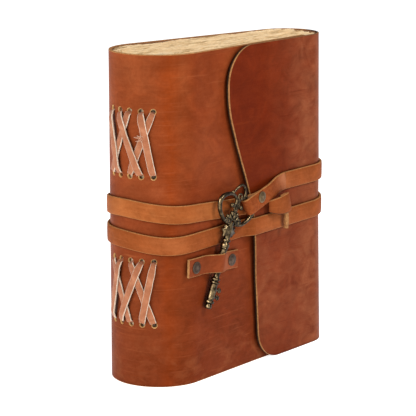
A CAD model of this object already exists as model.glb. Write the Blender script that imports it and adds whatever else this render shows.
"""Looks of the leather journal: hide, laces, deckled leaves, strap, keeper, rivets and key.

Places are worked out in book coordinates, in millimetres: the centre of the spine's bend is at x = y = 0, the
front cover faces -Y and the fore edge points to +X. place() moves a point to the frame, in metres.
"""

from math import asin, atan2, ceil, cos, degrees, hypot, pi, radians, sin, sqrt, tan

import bmesh
import bpy
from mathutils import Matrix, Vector, noise


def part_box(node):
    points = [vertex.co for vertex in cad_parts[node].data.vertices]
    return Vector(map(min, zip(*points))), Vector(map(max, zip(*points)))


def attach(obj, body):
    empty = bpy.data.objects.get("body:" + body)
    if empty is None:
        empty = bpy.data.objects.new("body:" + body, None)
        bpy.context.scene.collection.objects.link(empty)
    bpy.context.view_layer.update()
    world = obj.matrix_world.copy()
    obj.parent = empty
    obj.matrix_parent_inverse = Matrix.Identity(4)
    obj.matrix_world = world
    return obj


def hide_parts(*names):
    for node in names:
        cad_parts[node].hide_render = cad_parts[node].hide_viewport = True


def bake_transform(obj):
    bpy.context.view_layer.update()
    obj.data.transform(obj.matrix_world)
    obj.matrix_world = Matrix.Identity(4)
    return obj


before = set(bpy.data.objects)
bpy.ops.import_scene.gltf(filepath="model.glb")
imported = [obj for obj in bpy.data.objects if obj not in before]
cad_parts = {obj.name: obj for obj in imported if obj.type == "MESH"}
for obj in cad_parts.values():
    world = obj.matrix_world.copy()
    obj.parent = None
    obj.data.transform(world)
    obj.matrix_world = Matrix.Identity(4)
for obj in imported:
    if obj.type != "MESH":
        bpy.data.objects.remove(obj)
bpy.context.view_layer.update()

MM = 0.001

# Book body, in millimetres and degrees
HEIGHT = 180.0
LEATHER = 1.8
SPINE_RADIUS = 26.5
FORE_RADIUS = 16.6
BEND_SPACING = 101.6
LAY = 0.25
FRONT_REACH = 103.0
COVER_CORNER = 6.0
COVER_SPLIT = 47.0
COVER_BEND = 9.0

# Flap's free edge: distance along the front and height of its corners, with their radii
FLAP_EDGE = [(23.6, 180.0), (23.6, 147.0), (45.8, 87.1), (52.4, 0.0)]
FLAP_RADII = [21.0, 58.0, 88.0, 18.0]

# Waves of the hide, as depth, lengths along and up, and seed
HIDE_WAVES = [(0.10, 42, 55, 1.7), (0.04, 13, 11, 4.1)]

# Spacing of the hide's points, and rounding of its cut edges
ROW_SPACING = 4.2
ROW_START = 7.0
CLOSE_ROWS = [0, 0.8, 2.0, 4.0]
SPINE_SPACING = 2.0
FOLD_SPACING = 1.6
FRONT_SPACING = 4.0
BACK_SPACING = 4.5
CORNER_SPACING = 1.5
COVER_ROUNDING = 0.4
FLAP_ROUNDING = 0.6

# The flap's free edge sinks to the cover, but not where it crosses the strap
SINK = 0.8
SINK_FROM = 80.0
SINK_LENGTH = 35.0
SINK_MIDDLE = 87.0
SINK_CLEAR = 16.0
SINK_EASE = 24.0

# Lean of the fore edge: how far at the tail and the head, its upright stretch, and where it begins
TAIL_LEAN = 2.6
HEAD_LEAN = 1.6
LEAN_MIDDLE = 92.0
LEAN_REST = 14.0
LEAN_FROM = 60.0
LEAN_LENGTH = 55.0

# Paper
SIGNATURES = 5
SHEETS = 8
PAPER_AIR = 0.5
SIGNATURE_GAP = 0.1
PAPER_EDGE = 106.0
PAPER_FOOT = 1.0
PAPER_HEAD = 179.6
LEAF_SPARE = 7.0
LEAF_CLEAR = 1.0
LEAF_UNEVEN = 0.8
LEAF_FILL = 0.46
LEAF_THIN = 0.35
TORN_FOOT = 0.3
TORN_WAVES = [(0.8, 45, 2.0, 5.0), (0.45, 13, 0.9, 3.0)]
DIP_WAVES = [(1.0, 55, 3.2, 11.0)]
DIP_DEPTH = 3.2
DIP_FROM = 0.2

# Lacing
LACE_COLUMNS = 5
LACE_PITCH = 14.6
LACE_FIRST = -19.1
LACE_SPAN = 34.7
STATIONS = {"upper": 132.6, "lower": 51.9}
LACES = [(0, 1, 1), (2, 0, 0), (1, 3, 1), (4, 2, 0), (3, 4, 1)]
HOLE_RADIUS = 1.3
HOLE_FLARE = 0.6
LACE_WIDTH = 3.8
LACE_END_WIDTH = 3.1
LACE_THICK = 1.0
LACE_OVER = 0.2
LACE_DIVE = 3.2
LACE_JITTER = 0.14
LACE_ROLL = 0.10

# Loose fibres of a lace: their angle round the spine, and the tilt, length and height of each
FRAY_ANGLE = 28.5
FRAY = [(8, 4.4, 136.0), (-14, 3.6, 135.4), (24, 2.8, 136.5), (-4, 3.9, 136.9)]
FRAY_THICK = 0.35
FRAY_WIDTHS = (0.9, 0.3)
FRAY_LIFT = 0.4
FRAY_ARCH = 0.5

# Strap
STRAP_WIDTH = 9.7
STRAP_THICK = 1.4
CROSSING_GAP = 0.6
STRAP_START = (71.5, 89.0)
FIRST_LAP = [(95.6, 94.2), (60, 94.9), (5, 97.9), (-30, 97.0), (-60, 95.4), (-95.6, 94.6)]
SECOND_LAP = [(95.6, 78.7), (55, 77.9), (5, 80.8), (-30, 81.0), (-60, 80.7), (-95.6, 80.8)]
LOW_FORE = (84.0, 80.0)
HIGH_FORE = (102.0, 100.8)
LOW_FRONT = 78.7
STEP_AT = 44.8
STEP_LENGTH = 7.0
STRAP_SPACING = 4.0
STEP_SPACING = 0.8
SPINE_TURNS = 4.0
FORE_TURNS = 5.0

# Strap's end on the flap: distance along the front, height, and distance out, of points on its middle line
END_ROUTE = [(72.5, 100.8, 4.65), (69.0, 100.3, 4.65), (65.0, 99.4, 4.75), (57.0, 97.4, 6.5),
             (49.0, 95.4, 6.95), (43.0, 93.9, 7.35), (37.6, 92.6, 7.6)]
END_SPACING = 1.5
SLOPE_STEP = 0.2
END_SKEW = 0.33
END_SKEW_LENGTH = 10.0
FOLD_RADIUS = 1.35
FOLD_BACK = 15.0
FOLD_BACK_SLOPE = 0.17
FOLD_BACK_LIFT = 1.6
LIFT_FROM = 3.0
LIFT_LENGTH = 5.0
FOLD_BACK_NARROW = 0.6
NARROW_LENGTH = 4.0

# Knot on the flap: distance along the front, height, distance out and width, at points of its tab and tail
KNOT = [(55.8, 89.0, 6.3, 6.8), (56.5, 89.0, 7.2, 7.4), (58.6, 88.9, 8.3, 8.6), (62.0, 88.7, 9.0, 9.8),
        (66.5, 89.0, 9.2, 10.7), (70.0, 89.2, 8.9, 10.9), (72.0, 89.4, 8.1, 10.6), (72.2, 89.3, 7.0, 10.4),
        (70.6, 89.0, 6.4, 10.2), (66.5, 88.6, 6.3, 9.8)]
KNOT_LEAN = 0.28
KNOT_TAIL = [(69.0, 86.0, 7.4, 2.8), (69.4, 83.0, 7.9, 2.7), (69.7, 79.5, 8.0, 2.6), (69.9, 76.8, 7.8, 2.5),
             (69.9, 74.4, 7.6, 2.4)]
KNOT_TAIL_TURN = 0.3
KNOT_TAIL_THICK = 2.2

# Keeper
KEEPER_HEIGHT = 64.6
KEEPER_TILT = -2.8
KEEPER_LEFT = -9.0
KEEPER_RIGHT = 33.4
KEEPER_WIDTH = 10.0
KEEPER_THICK = 1.4
KEEPER_SPACING = 0.9
KEEPER_UNEVEN = 0.12
KEEPER_WAVER = 0.02
KEEPER_DRAG = 1.0
KEEPER_DRAG_FALL = 10.0

# How the keeper climbs over the key and comes down, and where its sections lean, from the key's middle line
KEEPER_CLIMB = 12.0
KEEPER_FALL = 1.2
KEEPER_RAMP = 11.0
KEEPER_SOFT = 0.3
KEEPER_LEAN_RISE = 9.0
KEEPER_LEAN_PAST = 3.0
KEEPER_LEAN_FALL = 8.0

# Key
KEY_TIP = (5.5, 40.4)
KEY_SLANT = 21.1
KEY_AIR = 0.35
END_COLLAR = 2.2
BULB = 2.5
BULB_AT = 35.4
SHANK = 1.75
BOW_MIDDLE = 0.85
BOW_FOOT = 47.2

# Camera, as fitted to the photograph, and the place that the lights look at
CAMERA_AZIMUTH = -46.03
CAMERA_ELEVATION = 12.225
CAMERA_DISTANCE = 1076.3
CAMERA_TARGET = Vector((37.62, -0.507, 87.31))
CAMERA_LENS = 167.7
SENSOR = 36.0
LIGHT_TARGET = Vector((45, 0, 90))

# Worked out from the sizes above
TAPER = asin((SPINE_RADIUS - FORE_RADIUS) / BEND_SPACING)
ALONG_FRONT = Vector((cos(TAPER), sin(TAPER), 0))
OUT_FRONT = Vector((sin(TAPER), -cos(TAPER), 0))
ALONG_BACK = Vector((cos(TAPER), -sin(TAPER), 0))
OUT_BACK = Vector((sin(TAPER), cos(TAPER), 0))
UP = Vector((0, 0, 1))
TURN_END = 90 + degrees(TAPER)
FLAP_GAP = STRAP_THICK + 2 * LAY
FLAP_FACE = FLAP_GAP + LEATHER
FOLD_OUTER = FORE_RADIUS + FLAP_FACE / 2
FOLD_CENTRE = Vector((BEND_SPACING, -FLAP_FACE / 2 / cos(TAPER), 0))
FOLD_TURN = 90 - degrees(TAPER)
FLAP_RUN = FOLD_CENTRE.dot(ALONG_FRONT)
BACK_RUN = FOLD_CENTRE.dot(ALONG_BACK)
ON_COVER = LAY + STRAP_THICK / 2
ON_FLAP = FLAP_FACE + ON_COVER
KEY_REST = END_COLLAR + KEY_AIR
KEY_LEAN = asin((LAY + STRAP_THICK + LAY + BULB - KEY_REST) / BULB_AT)
KEY_CROSSING = KEY_TIP[0] + (KEEPER_HEIGHT - KEY_TIP[1]) * tan(radians(KEY_SLANT))

# Lengths along the hide from the middle of the spine, towards the front and towards the flap
FRONT_START = SPINE_RADIUS * radians(TURN_END)
BACK_END = FRONT_START + BACK_RUN
FORE_MIDDLE = BACK_END + FOLD_OUTER * radians(FOLD_TURN)
FLAP_START = FORE_MIDDLE + FOLD_OUTER * radians(FOLD_TURN)

# Material slots of a sheet or a band: grain side, cut edge, flesh side, rounded rim, hole's rim and wall
GRAIN, CUT, INNER, ROUNDED, RIM, WALL = range(6)

spine_low, spine_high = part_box("spine")
SHIFT = Vector((spine_low[0] / MM + SPINE_RADIUS, (spine_low[1] + spine_high[1]) / 2 / MM, 0))


def place(point):
    """A point in book coordinates as a point of the frame, in metres."""
    return (point + SHIFT) * MM


def front_point(along, z, off):
    """A point of the front: distance along it, height, and distance out from the front cover."""
    return OUT_FRONT * (SPINE_RADIUS + off) + ALONG_FRONT * along + UP * z


def back_point(along, z, off):
    """A point of the back, given as on the front."""
    return OUT_BACK * (SPINE_RADIUS + off) + ALONG_BACK * along + UP * z


def spine_out(angle):
    """The way out of the spine, at an angle from its middle towards the front."""
    return Vector((-cos(radians(angle)), -sin(radians(angle)), 0))


def spine_point(angle, z, off):
    """A point off the spine."""
    return spine_out(angle) * (SPINE_RADIUS + off) + UP * z


def fore_out(angle):
    """The way out of the fore edge, at an angle from its middle towards the back."""
    return Vector((cos(radians(angle)), sin(radians(angle)), 0))


def fore_point(angle, z, off):
    """A point off the leather round the fore edge."""
    return FOLD_CENTRE + fore_out(angle) * (FOLD_OUTER + off) + UP * z


def between(share, low, high):
    """A number or a point between two others."""
    return low + (high - low) * share


def ease(value):
    """A smooth step from 0 to 1."""
    value = min(max(value, 0.0), 1.0)
    return value * value * (3 - 2 * value)


def wobble(x, y, seed):
    """Smooth noise from -1 to 1."""
    return noise.noise(Vector((x, y, seed)))


def waves(kinds, x, y):
    """The sum of waves, each given as its depth, its two lengths and its seed."""
    return sum(depth * wobble(x / long, y / wide, seed) for depth, long, wide, seed in kinds)


def through(stops, x):
    """A smooth curve through (x, value) stops, in falling or rising order of x."""
    last = len(stops) - 1
    for index in range(last):
        here, there = stops[index], stops[index + 1]
        if min(here[0], there[0]) - 1e-6 <= x <= max(here[0], there[0]) + 1e-6:
            before = stops[max(index - 1, 0)]
            after = stops[min(index + 2, last)]
            span = there[0] - here[0]
            slope_here = (there[1] - before[1]) / (there[0] - before[0]) * span
            slope_there = (after[1] - here[1]) / (after[0] - here[0]) * span
            t = (x - here[0]) / span
            values = (2 * t ** 3 - 3 * t ** 2 + 1) * here[1] + (3 * t ** 2 - 2 * t ** 3) * there[1]
            slopes = (t ** 3 - 2 * t ** 2 + t) * slope_here + (t ** 3 - t ** 2) * slope_there
            return values + slopes
    raise ValueError(f"{x} is outside the stops")


def steps(start, end, spacing):
    """Even steps from start to end, about a spacing apart."""
    count = max(1, ceil(abs(end - start) / spacing))
    return [between(index / count, start, end) for index in range(count + 1)]


def turns(sides):
    """Angles of even sides round a full turn."""
    return [2 * pi * side / sides for side in range(sides)]


def ways(points):
    """The way along a line of points, at each of them."""
    pairs = zip(points[:1] + points[:-1], points[1:] + points[-1:])
    return [(after - before).normalized() for before, after in pairs]


def smooth_line(points, parts=5):
    """More points, on a smooth curve through the ones given."""
    columns = [list(enumerate(column)) for column in zip(*points)]
    shares = steps(0, len(points) - 1, 1 / parts)
    return [tuple(through(column, share) for column in columns) for share in shares]


def ring_faces(rings, sides, first=0, capped=True):
    """Faces between rings of points that are numbered from first, with the two ends closed if capped."""
    faces = []
    for ring in range(rings - 1):
        low = first + ring * sides
        for side in range(sides):
            after = (side + 1) % sides
            faces.append([low + side, low + after, low + sides + after, low + sides + side])
    if capped:
        last = first + (rings - 1) * sides
        faces += [[start + side for side in range(sides)] for start in (first, last)]
    return faces


def show(name, data):
    """An object of the scene with its mesh, light or camera."""
    obj = bpy.data.objects.new(name, data)
    bpy.context.scene.collection.objects.link(obj)
    return obj


def add_object(name, verts, faces, materials, slots=None, uvs=None, sharp=50.0):
    """A smooth-shaded mesh object from points in book coordinates, with UVs in metres of its own surface."""
    mesh = bpy.data.meshes.new(name)
    mesh.from_pydata([place(vert) for vert in verts], [], faces)
    for material in materials:
        mesh.materials.append(material)
    if slots:
        mesh.polygons.foreach_set("material_index", slots)
    if uvs:
        layer = mesh.uv_layers.new(name="surface")
        for loop in mesh.loops:
            layer.data[loop.index].uv = Vector(uvs[loop.vertex_index]) * MM
    mesh.shade_smooth()
    mesh.update()
    body = bmesh.new()
    body.from_mesh(mesh)
    bmesh.ops.recalc_face_normals(body, faces=body.faces)
    body.to_mesh(mesh)
    body.free()
    mesh.set_sharp_from_angle(angle=radians(sharp))
    return show(name, mesh)


def bend(first, second, *ends):
    """What a blend says of a bend: the body before it, the body after it, and where it starts and ends."""
    return first, second, *(place(end) for end in ends)


COVER_FOLD = bend("book", "front_cover", spine_point(COVER_SPLIT - COVER_BEND, 0, 0),
                  spine_point(COVER_SPLIT + COVER_BEND, 0, 0))
BACK_FOLD = bend("book", "fore_edge", fore_point(FOLD_TURN, 0, 0), fore_point(0, 0, 0))
FLAP_FOLD = bend("fore_edge", "flap", fore_point(0, 0, 0), fore_point(-FOLD_TURN, 0, 0))


# Materials


class Shader:
    """A short way to write a material's nodes."""

    def __init__(self, name):
        self.material = bpy.data.materials.new(name)
        self.material.use_nodes = True
        self.tree = self.material.node_tree
        self.tree.nodes.clear()
        self.surface = self.node("ShaderNodeBsdfPrincipled")
        output = self.node("ShaderNodeOutputMaterial")
        self.link(self.surface.outputs["BSDF"], output.inputs["Surface"])

    def node(self, kind, **settings):
        """A new node with its settings."""
        made = self.tree.nodes.new(kind)
        for key, value in settings.items():
            setattr(made, key, value)
        return made

    def link(self, source, target):
        """A link from an output to an input."""
        self.tree.links.new(source, target)

    def fill(self, socket, value):
        """Gives an input another node's output, a colour or a number."""
        if isinstance(value, bpy.types.NodeSocket):
            self.link(value, socket)
        elif isinstance(value, tuple):
            socket.default_value = (*value, 1)
        else:
            socket.default_value = value

    def set(self, **values):
        """Fills the surface's inputs, by the shader's own names."""
        for key, value in values.items():
            self.fill(self.surface.inputs[key.replace("_", " ")], value)

    def mapped(self, places, scale, turn=0.0):
        """Places stretched by a scale for each direction, and turned."""
        mapping = self.node("ShaderNodeMapping")
        mapping.inputs["Scale"].default_value = scale
        mapping.inputs["Rotation"].default_value = (0, 0, turn)
        self.link(places, mapping.inputs["Vector"])
        return mapping.outputs["Vector"]

    def surface_uv(self, along=1.0, up=1.0, turn=0.0):
        """Places on the surface, in metres along and up it."""
        uv = self.node("ShaderNodeUVMap", uv_map="surface")
        return self.mapped(uv.outputs["UV"], (along, up, 1), turn)

    def object_position(self, up=1.0):
        """Places in the piece's own space, in metres."""
        return self.mapped(self.node("ShaderNodeTexCoord").outputs["Object"], (1, 1, up))

    def noise(self, vector, scale, detail=4.0, rough=0.55, warp=0.0):
        """Cloudy noise, about 0 to 1."""
        made = self.node("ShaderNodeTexNoise")
        values = {"Scale": scale, "Detail": detail, "Roughness": rough, "Distortion": warp}
        for name, value in values.items():
            made.inputs[name].default_value = value
        self.link(vector, made.inputs["Vector"])
        return made.outputs["Fac"]

    def cells(self, vector, scale):
        """Distance from the borders of small cells."""
        made = self.node("ShaderNodeTexVoronoi", feature="DISTANCE_TO_EDGE")
        made.inputs["Scale"].default_value = scale
        self.link(vector, made.inputs["Vector"])
        return made.outputs["Distance"]

    def openness(self, distance):
        """How open the surface is to its surroundings, within a distance in millimetres."""
        made = self.node("ShaderNodeAmbientOcclusion", samples=8)
        made.inputs["Distance"].default_value = distance * MM
        return made.outputs["AO"]

    def grey(self, value, low, high, start=0.0, end=1.0):
        """A value from low to high, stretched to run from start to end."""
        made = self.node("ShaderNodeMapRange", clamp=True)
        values = {"From Min": low, "From Max": high, "To Min": start, "To Max": end}
        for name, number in values.items():
            made.inputs[name].default_value = number
        self.link(value, made.inputs["Value"])
        return made.outputs["Result"]

    def math(self, operation, first, second=0.0):
        """A sum of one or two numbers."""
        made = self.node("ShaderNodeMath", operation=operation)
        self.fill(made.inputs[0], first)
        self.fill(made.inputs[1], second)
        return made.outputs["Value"]

    def ramp(self, value, stops):
        """Colours, or greys as one number, at places from 0 to 1."""
        made = self.node("ShaderNodeValToRGB")
        ramp = made.color_ramp
        while len(ramp.elements) < len(stops):
            ramp.elements.new(0.5)
        for element, (at, colour) in zip(ramp.elements, stops):
            element.position = at
            element.color = (*colour, 1) if isinstance(colour, tuple) else (colour, colour, colour, 1)
        self.link(value, made.inputs["Fac"])
        return made.outputs["Color"]

    def tones(self, axis, stops):
        """Colours at places in millimetres along (X) or up (Y) the surface, with uneven borders."""
        uv = self.node("ShaderNodeUVMap", uv_map="surface").outputs["UV"]
        parts = self.node("ShaderNodeSeparateXYZ")
        self.link(uv, parts.inputs[0])
        uneven = self.grey(self.noise(uv, 60, 5, 0.6), 0.2, 0.8, -4 * MM, 4 * MM)
        low, high = stops[0][0], stops[-1][0]
        share = self.grey(self.math("ADD", parts.outputs[axis], uneven), low * MM, high * MM)
        return self.ramp(share, [((at - low) / (high - low), colour) for at, colour in stops])

    def mix(self, factor, first, second, kind="MIX"):
        """Two colours mixed by a factor."""
        made = self.node("ShaderNodeMix", data_type="RGBA", blend_type=kind)
        for socket, value in ((0, factor), (6, first), (7, second)):
            self.fill(made.inputs[socket], value)
        return made.outputs[2]

    def times(self, colour, tint):
        """A colour times a tint or a grey."""
        return self.mix(1.0, colour, tint, "MULTIPLY")

    def over(self, colour, other, pattern, low, high, start=0.0, end=1.0):
        """A colour with another over it, from start to end of it as a pattern goes from low to high."""
        return self.mix(self.grey(pattern, low, high, start, end), colour, other)

    def bump(self, heights):
        """Bumps from (height socket, depth in millimetres) layers, one over the other."""
        normal = None
        for height, depth in heights:
            made = self.node("ShaderNodeBump")
            made.inputs["Strength"].default_value = 1.0
            made.inputs["Distance"].default_value = depth * MM
            self.link(height, made.inputs["Height"])
            if normal:
                self.link(normal, made.inputs["Normal"])
            normal = made.outputs["Normal"]
        self.link(normal, self.surface.inputs["Normal"])


def leather_material(name, dark, middle, light, rough=0.42, toned=None, mottled=0.26):
    """Waxed leather: clouded, streaked, scuffed, scratched, finely grained, and dark beside close pieces."""
    shader = Shader(name)
    plain = shader.surface_uv()
    level = shader.surface_uv(0.22)
    clouds = shader.noise(plain, 26, 6, 0.62, 0.7)
    colour = shader.ramp(clouds, [(0.33, dark), (0.5, middle), (0.69, light)])
    streak = shader.noise(level, 420, 4, 0.6, 0.3)
    colour = shader.mix(0.22, colour, shader.over(dark, light, streak, 0.35, 0.7))
    mottle = shader.noise(plain, 620, 4, 0.7)
    colour = shader.mix(mottled, colour, shader.over(dark, light, mottle, 0.3, 0.72))
    if toned:
        colour = toned(shader, colour)
    blotches = shader.noise(shader.surface_uv(0.8), 85, 5, 0.62, 1.2)
    colour = shader.times(colour, shader.grey(blotches, 0.3, 0.7, 0.79, 1.19))
    scuff = shader.noise(shader.surface_uv(0.6, 1.4), 95, 8, 0.7, 1.5)
    colour = shader.over(colour, light, scuff, 0.6, 0.8, 0.0, 0.45)
    scratch = shader.noise(shader.surface_uv(0.1, 1.3, 0.35), 330, 3, 0.6, 0.4)
    colour = shader.over(colour, light, scratch, 0.67, 0.75, 0.0, 0.7)
    hairline = shader.noise(shader.surface_uv(0.05, 1.7, 0.08), 560, 3, 0.6, 0.3)
    colour = shader.over(colour, light, hairline, 0.6, 0.72, 0.0, 0.45)
    colour = shader.over(colour, dark, hairline, 0.28, 0.4, 0.45, 0.0)
    speck = shader.noise(plain, 1900, 3, 0.6)
    colour = shader.over(colour, dark, speck, 0.3, 0.75, 0.25, 0.0)
    colour = shader.times(colour, shader.grey(shader.openness(2.2), 0.2, 0.9, 0.35, 1.0))
    shader.set(Base_Color=colour)
    shader.set(Roughness=shader.grey(clouds, 0.25, 0.75, rough + 0.08, rough - 0.06))
    shader.set(Specular_IOR_Level=0.025, Specular_Tint=(1.0, 0.55, 0.35))
    grain = shader.cells(plain, 900)
    pores = shader.noise(plain, 1500, 4, 0.65)
    folds = shader.noise(level, 160, 5, 0.6, 0.5)
    shader.bump([(folds, 0.05), (grain, 0.03), (pores, 0.035)])
    return shader.material


def cover_tones(shader, colour):
    """Paler on the spine, orange along its bend, browner on the cover, and rubbed in patches at the tail."""
    along = shader.tones("X", [(-60, (1, 0.97, 0.95)), (-5, 1), (19, 1), (26, (1.0, 0.80, 0.52)),
                               (33, (0.93, 0.88, 0.80)), (42, (0.86, 0.72, 0.60)), (90, (0.82, 0.70, 0.62))])
    high = shader.tones("Y", [(0, (0.70, 0.64, 0.70)), (30, (0.77, 0.72, 0.78)), (100, (0.94, 0.90, 0.94)),
                              (160, 1), (180, 1)])
    colour = shader.times(shader.times(colour, along), high)
    near_tail = shader.tones("Y", [(0, 1), (12, 0.8), (32, 0), (180, 0)])
    patches = shader.noise(shader.surface_uv(0.7, 1.2, 0.7), 110, 5, 0.62, 0.6)
    rubbed = shader.math("MULTIPLY", near_tail, shader.grey(patches, 0.48, 0.7, 0.0, 0.5))
    return shader.mix(rubbed, colour, (0.30, 0.092, 0.033))


def first_strap_tones(shader, colour):
    """Darker on the front, paler round the spine."""
    along = shader.tones("X", [(0, (0.80, 0.74, 0.68)), (62, (0.84, 0.79, 0.73)), (100, 1), (170, 1)])
    return shader.times(colour, along)


def keeper_tones(shader, colour):
    """A pale crease where the keeper comes down beside the key."""
    crease = shader.tones("X", [(0, 0), (26, 0), (31, 0.6), (36, 0.35), (44, 0)])
    return shader.mix(crease, colour, (0.36, 0.118, 0.055))


def tab_tones(shader, colour):
    """A pale crease where the strap turns to the key."""
    crease = shader.tones("X", [(-4, 0.1), (1, 0.75), (5, 0.3), (9, 0), (40, 0)])
    return shader.mix(crease, colour, (0.44, 0.165, 0.078))


def flap_tones(shader, colour):
    """Dark in the upper part near the free edge, rubbed paler towards the fore edge and the tail."""
    fore = -FLAP_START
    right = shader.tones("X", [(fore - 46, 0), (fore - 26, 0.25), (fore - 10, 0.85), (fore, 1)])
    low = shader.tones("Y", [(0, 0.3), (16, 0.45), (34, 0.72), (66, 0.62), (96, 0.1), (130, 0)])
    rubbed = shader.math("MAXIMUM", right, low)
    patchy = shader.noise(shader.surface_uv(0.8, 1.1, 0.5), 80, 6, 0.65, 0.8)
    rubbed = shader.math("MULTIPLY", rubbed, shader.grey(patchy, 0.3, 0.68, 0.3, 1.3))
    return shader.mix(rubbed, colour, shader.mix(0.3, (0.207, 0.062, 0.0245), colour, "ADD"))


def raw_edge_material(name, dark, light):
    """Cut leather: pale, fibrous and dull."""
    shader = Shader(name)
    spots = shader.object_position()
    fibres = shader.noise(spots, 900, 6, 0.7)
    patches = shader.noise(spots, 120, 3, 0.5)
    colour = shader.ramp(fibres, [(0.3, dark), (0.6, light)])
    colour = shader.over(colour, dark, patches, 0.4, 0.7, 0.0, 0.35)
    shader.set(Base_Color=colour, Roughness=0.8, Specular_IOR_Level=0.2)
    shader.bump([(fibres, 0.08)])
    return shader.material


def suede_material(name, dark, middle, light):
    """Split leather of the laces: napped, with pale fibres."""
    shader = Shader(name)
    plain = shader.surface_uv()
    nap = shader.noise(plain, 1100, 6, 0.7)
    clouds = shader.noise(plain, 130, 4, 0.6, 0.8)
    colour = shader.ramp(clouds, [(0.3, dark), (0.5, middle), (0.72, light)])
    colour = shader.over(colour, light, nap, 0.35, 0.75, 0.0, 0.45)
    shader.set(Base_Color=colour, Roughness=0.85, Specular_IOR_Level=0.15)
    shader.set(Sheen_Weight=0.25, Sheen_Roughness=0.5)
    shader.bump([(clouds, 0.12), (nap, 0.1)])
    return shader.material


def paper_material():
    """Torn edges of handmade paper: warm layers along the leaves, fibres, and brown where the leaves gape."""
    shader = Shader("handmade_paper")
    fibres = shader.noise(shader.object_position(), 700, 8, 0.7)
    layers = shader.noise(shader.surface_uv(0.07), 420, 5, 0.65, 0.3)
    colour = shader.ramp(layers, [(0.30, (0.26, 0.14, 0.055)), (0.40, (0.60, 0.41, 0.21)),
                                  (0.50, (0.84, 0.63, 0.37)), (0.70, (0.93, 0.77, 0.53))])
    colour = shader.over(colour, (0.46, 0.28, 0.13), fibres, 0.5, 0.8, 0.0, 0.5)
    shader.set(Base_Color=colour, Roughness=0.9, Specular_IOR_Level=0.1)
    shader.bump([(fibres, 0.15)])
    return shader.material


def page_material():
    """The faces of the leaves: handmade paper with fibres and a faint pressed texture."""
    shader = Shader("paper_face")
    pulp = shader.noise(shader.object_position(), 60, 6, 0.65, 0.6)
    fibres = shader.noise(shader.object_position(0.35), 900, 5, 0.65, 1.0)
    colour = shader.ramp(pulp, [(0.35, (0.72, 0.55, 0.34)), (0.5, (0.80, 0.64, 0.42)),
                                (0.68, (0.86, 0.72, 0.51))])
    colour = shader.over(colour, (0.50, 0.33, 0.17), fibres, 0.6, 0.78, 0.0, 0.45)
    shader.set(Base_Color=colour, Roughness=0.9, Specular_IOR_Level=0.1)
    shader.bump([(pulp, 0.2), (fibres, 0.08)])
    return shader.material


def metal_material(name, recess, body, worn, rough=0.42, edges=(0.5, 0.58), rubbed=None):
    """Antique metal: dark in its recesses and rubbed bright on what stands out or faces the rubbed way."""
    shader = Shader(name)
    spots = shader.object_position()
    patina = shader.noise(spots, 420, 6, 0.65, 0.4)
    shape = shader.node("ShaderNodeNewGeometry")
    worn_edge = shader.grey(shape.outputs["Pointiness"], *edges)
    colour = shader.ramp(patina, [(0.3, recess), (0.5, body), (0.75, worn)])
    colour = shader.mix(shader.math("MULTIPLY", worn_edge, 0.7), colour, worn)
    if rubbed:
        faces = shader.node("ShaderNodeTexCoord")
        facing = shader.node("ShaderNodeVectorMath", operation="DOT_PRODUCT")
        facing.inputs[1].default_value = rubbed.normalized()
        shader.link(faces.outputs["Normal"], facing.inputs[0])
        either_side = shader.math("ABSOLUTE", facing.outputs["Value"])
        colour = shader.over(colour, recess, either_side, 0.15, 0.7, 0.85, 0.0)
        facing_on = shader.grey(either_side, 0.78, 0.98)
        bright = shader.math("MULTIPLY", facing_on, shader.grey(patina, 0.32, 0.58))
        colour = shader.mix(bright, colour, tuple(1.6 * channel for channel in worn))
    colour = shader.over(colour, recess, shader.openness(3.0), 0.35, 0.95, 1.0, 0.0)
    shader.set(Base_Color=colour, Metallic=0.92)
    shader.set(Roughness=shader.grey(patina, 0.3, 0.75, rough + 0.14, rough - 0.1))
    pits = shader.noise(spots, 1100, 4, 0.6)
    shader.bump([(patina, 0.12), (pits, 0.05)])
    return shader.material


HIDE = leather_material("cover_hide", (0.178, 0.0320, 0.0074), (0.230, 0.0480, 0.0130),
                        (0.305, 0.079, 0.026), toned=cover_tones)
FLAP_HIDE = leather_material("flap_hide", (0.093, 0.0082, 0.0010), (0.120, 0.0125, 0.0015),
                             (0.162, 0.0215, 0.0035), toned=flap_tones)
FIRST_STRAP_HIDE = leather_material("first_strap_hide", (0.225, 0.053, 0.0115), (0.305, 0.082, 0.0205),
                                    (0.42, 0.140, 0.042), 0.5, first_strap_tones)
STRAP_HIDE = leather_material("strap_hide", (0.185, 0.039, 0.0080), (0.248, 0.060, 0.0145),
                              (0.355, 0.105, 0.032), 0.5)
KEEPER_HIDE = leather_material("keeper_hide", (0.153, 0.029, 0.0085), (0.200, 0.042, 0.0140),
                               (0.29, 0.074, 0.027), 0.5, keeper_tones)
TAB_HIDE = leather_material("tab_hide", (0.152, 0.027, 0.0055), (0.214, 0.043, 0.0085),
                            (0.36, 0.100, 0.030), 0.55, tab_tones, 0.55)
RAW_EDGE = raw_edge_material("raw_edge", (0.17, 0.066, 0.020), (0.46, 0.215, 0.072))
STRAP_EDGE = raw_edge_material("strap_edge", (0.20, 0.074, 0.020), (0.45, 0.185, 0.055))
DARK_EDGE = raw_edge_material("dark_edge", (0.006, 0.003, 0.002), (0.050, 0.022, 0.009))
FLESH = raw_edge_material("flesh_side", (0.18, 0.075, 0.032), (0.30, 0.14, 0.065))
SUEDE = suede_material("lace_suede", (0.22, 0.066, 0.025), (0.315, 0.104, 0.043), (0.43, 0.172, 0.084))
HOLE_RIM = raw_edge_material("hole_rim", (0.38, 0.20, 0.066), (0.70, 0.43, 0.17))
HOLE_WALL = raw_edge_material("hole_wall", (0.15, 0.066, 0.026), (0.36, 0.170, 0.065))
LACE_EDGE = raw_edge_material("lace_edge", (0.47, 0.33, 0.23), (0.76, 0.62, 0.49))
PAPER = paper_material()
PAGE = page_material()
RIVET_METAL = metal_material("dark_rivet", (0.022, 0.013, 0.009), (0.056, 0.034, 0.024),
                             (0.125, 0.085, 0.060), 0.46)
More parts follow.
